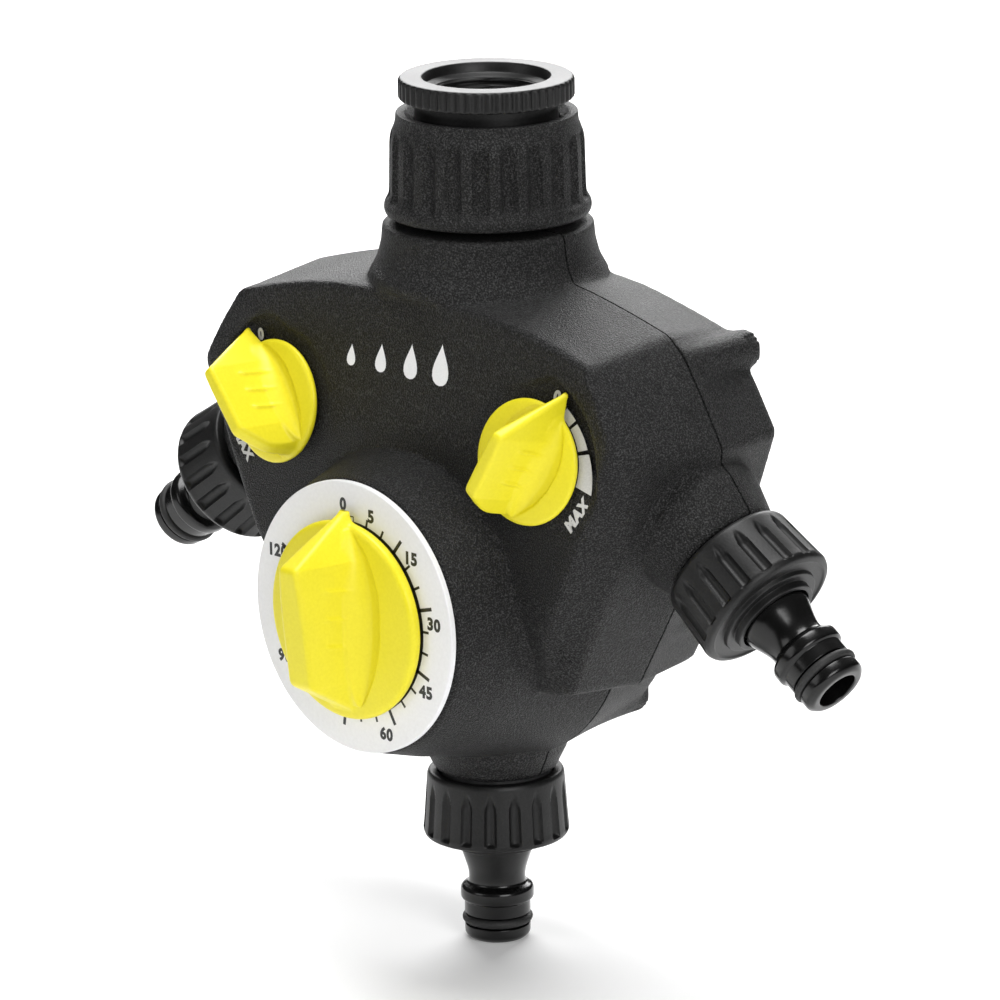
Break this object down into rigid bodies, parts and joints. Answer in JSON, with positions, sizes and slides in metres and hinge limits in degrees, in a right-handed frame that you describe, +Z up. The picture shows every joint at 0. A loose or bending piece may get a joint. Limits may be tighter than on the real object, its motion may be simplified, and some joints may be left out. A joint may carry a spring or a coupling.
{
  "type": "drip irrigation timer",
  "caption": "Tap-mounted water distributor: black housing, swivel inlet nut, clockwork dial over a bottom outlet and flow knobs over two side outlets.",
  "frame": {"origin": "on the inlet's axis, at the adapter's top face, where the tap seals", "axes": "+Z up along the inlet towards the tap, -Y out of the dial, +X towards the outlet on the right seen from the front"},
  "size_m": [0.2206, 0.0927, 0.2043],
  "materials": {
    "housing_black": "matte black, fine moulded grain",
    "nut_black": "satin black moulded plastic",
    "gloss_black": "glossy black moulded plastic",
    "knob_yellow": "bright yellow, semi-gloss",
    "dial_white": "white with black printed scale",
    "seal_rubber": "black rubber",
    "grey_plastic": "grey glass-filled moulding",
    "white_plastic": "natural white acetal",
    "brass": "stamped brass",
    "steel": "bright steel"
  },
  "bodies": {
    "housing": {"adapter_washer": "seal_rubber", "bottom_nipple": "gloss_black", "bottom_nipple_o_ring": "seal_rubber", "bottom_outlet_washer": "seal_rubber", "dial_plate": "dial_white", "front_shell": "housing_black", "inlet_adapter": "nut_black", "inlet_strainer": "steel", "inlet_washer": "seal_rubber", "left_ball_seat": "seal_rubber", "left_nipple": "gloss_black", "left_nipple_o_ring": "seal_rubber", "left_outlet_washer": "seal_rubber", "left_spindle_o_ring": "seal_rubber", "left_valve_gland": "grey_plastic", "mainspring": "steel", "manifold": "grey_plastic", "rear_shell": "housing_black", "return_spring": "steel", "right_ball_seat": "seal_rubber", "right_nipple": "gloss_black", "right_nipple_o_ring": "seal_rubber", "right_outlet_washer": "seal_rubber", "right_spindle_o_ring": "seal_rubber", "right_valve_gland": "grey_plastic", "screw_left_lower": "steel", "screw_left_middle": "steel", "screw_left_upper": "steel", "screw_right_lower": "steel", "screw_right_middle": "steel", "screw_right_upper": "steel", "spool_cap": "grey_plastic", "timer_back_plate": "brass", "timer_front_plate": "brass", "timer_pillar_1": "steel", "timer_pillar_2": "steel", "timer_pillar_3": "steel"},
    "timer_drive": {"timer_knob": "knob_yellow", "timer_arbor": "steel", "main_wheel": "brass", "valve_cam": "white_plastic"},
    "second_staff": {"second_wheel": "brass"},
    "third_staff": {"third_wheel": "brass"},
    "escape_staff": {"escape_wheel": "brass"},
    "balance": {"balance_wheel": "brass"},
    "timer_valve": {"valve_spool": "white_plastic"},
    "left_flow_valve": {"left_knob": "knob_yellow", "left_valve_spindle": "steel", "left_valve_ball": "white_plastic"},
    "right_flow_valve": {"right_knob": "knob_yellow", "right_valve_spindle": "steel", "right_valve_ball": "white_plastic"},
    "inlet_coupling": {"inlet_nut": "housing_black"},
    "left_coupling": {"left_outlet_nut": "nut_black"},
    "right_coupling": {"right_outlet_nut": "nut_black"},
    "bottom_coupling": {"bottom_outlet_nut": "nut_black"}
  },
  "joints": [
    {"name": "timer_knob_turn", "type": "hinge", "parent": "housing", "child": "timer_drive", "pos_m": [0, -0.0486, -0.1176], "axis": [0, 1, 0], "range_deg": [0, 300]},
    {"name": "second_wheel_turn", "type": "hinge", "parent": "housing", "child": "second_staff", "pos_m": [-0.01034, 0, -0.11384], "axis": [0, 1, 0], "range_deg": [-1200, 0]},
    {"name": "third_wheel_turn", "type": "hinge", "parent": "housing", "child": "third_staff", "pos_m": [-0.01584, 0, -0.12336], "axis": [0, 1, 0], "range_deg": [0, 4800]},
    {"name": "escape_wheel_turn", "type": "hinge", "parent": "housing", "child": "escape_staff", "pos_m": [-0.00877, 0, -0.13179], "axis": [0, 1, 0], "range_deg": [-19200, 0]},
    {"name": "balance_swing", "type": "hinge", "parent": "housing", "child": "balance", "pos_m": [0.0165, 0, -0.1261], "axis": [0, 1, 0], "range_deg": [-60, 60]},
    {"name": "timer_valve_slide", "type": "slide", "parent": "housing", "child": "timer_valve", "axis": [0, 1, 0], "range_m": [0, 0.00301]},
    {"name": "left_flow_turn", "type": "hinge", "parent": "housing", "child": "left_flow_valve", "pos_m": [-0.0405, -0.03, -0.0771], "axis": [0.07, 0.9884, -0.135], "range_deg": [-86, 14]},
    {"name": "right_flow_turn", "type": "hinge", "parent": "housing", "child": "right_flow_valve", "pos_m": [0.0405, -0.03, -0.0771], "axis": [-0.07, 0.9884, -0.135], "range_deg": [0, 100]},
    {"name": "inlet_nut_turn", "type": "hinge", "parent": "housing", "child": "inlet_coupling", "pos_m": [0, 0, -0.0195], "axis": [0, 0, 1], "continuous": true},
    {"name": "left_nut_turn", "type": "hinge", "parent": "housing", "child": "left_coupling", "pos_m": [-0.0862, 0, -0.1089], "axis": [-0.8131, 0, -0.5821], "continuous": true},
    {"name": "right_nut_turn", "type": "hinge", "parent": "housing", "child": "right_coupling", "pos_m": [0.0862, 0, -0.1089], "axis": [0.8131, 0, -0.5821], "continuous": true},
    {"name": "bottom_nut_turn", "type": "hinge", "parent": "housing", "child": "bottom_coupling", "pos_m": [0, 0, -0.1794], "axis": [0, 0, -1], "continuous": true}
  ],
  "couplings": [
    {"joint": "second_wheel_turn", "follows": "timer_knob_turn", "ratio": -4},
    {"joint": "third_wheel_turn", "follows": "timer_knob_turn", "ratio": 16},
    {"joint": "escape_wheel_turn", "follows": "timer_knob_turn", "ratio": -64},
    {"joint": "timer_valve_slide", "follows": "timer_knob_turn", "m_per_rad": 0.00057296}
  ]
}
